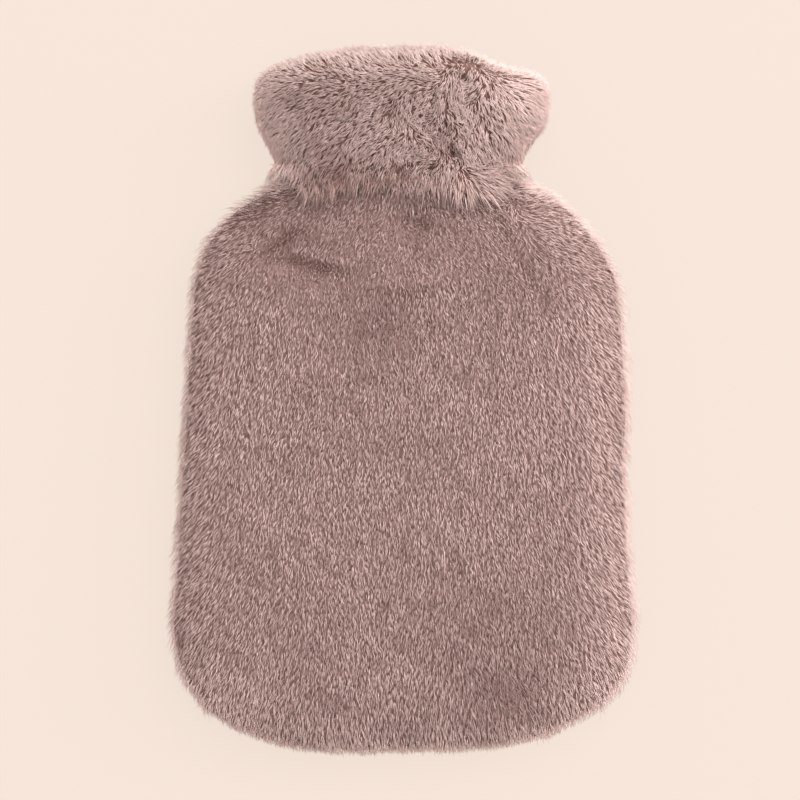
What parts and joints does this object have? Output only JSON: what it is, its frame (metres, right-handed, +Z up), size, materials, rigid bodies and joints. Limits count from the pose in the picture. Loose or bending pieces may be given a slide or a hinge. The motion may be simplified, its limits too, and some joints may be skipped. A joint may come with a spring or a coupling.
{
  "type": "hot water bottle cover",
  "caption": "Long-pile plush cover for a hot water bottle: front and back panels sewn at their edge, with a folded roll-neck collar, lying on its back.",
  "frame": {"origin": "on the surface that the cover lies on, under the middle of its box", "axes": "+Z up out of the front panel, +Y along the cover towards its neck, +X to the right seen from the front"},
  "size_m": [0.2268, 0.3455, 0.061],
  "materials": {
    "front_plush": "long-pile faux fur, combed towards the bottom edge, matt with a soft sheen",
    "back_plush": "long-pile faux fur, combed towards the bottom edge, matt with a soft sheen",
    "collar_plush": "long-pile faux fur, parted at the middle, matt with a soft sheen"
  },
  "bodies": {
    "root": {"front_panel": "front_plush", "back_panel": "back_plush", "collar": "collar_plush"}
  },
  "joints": []
}
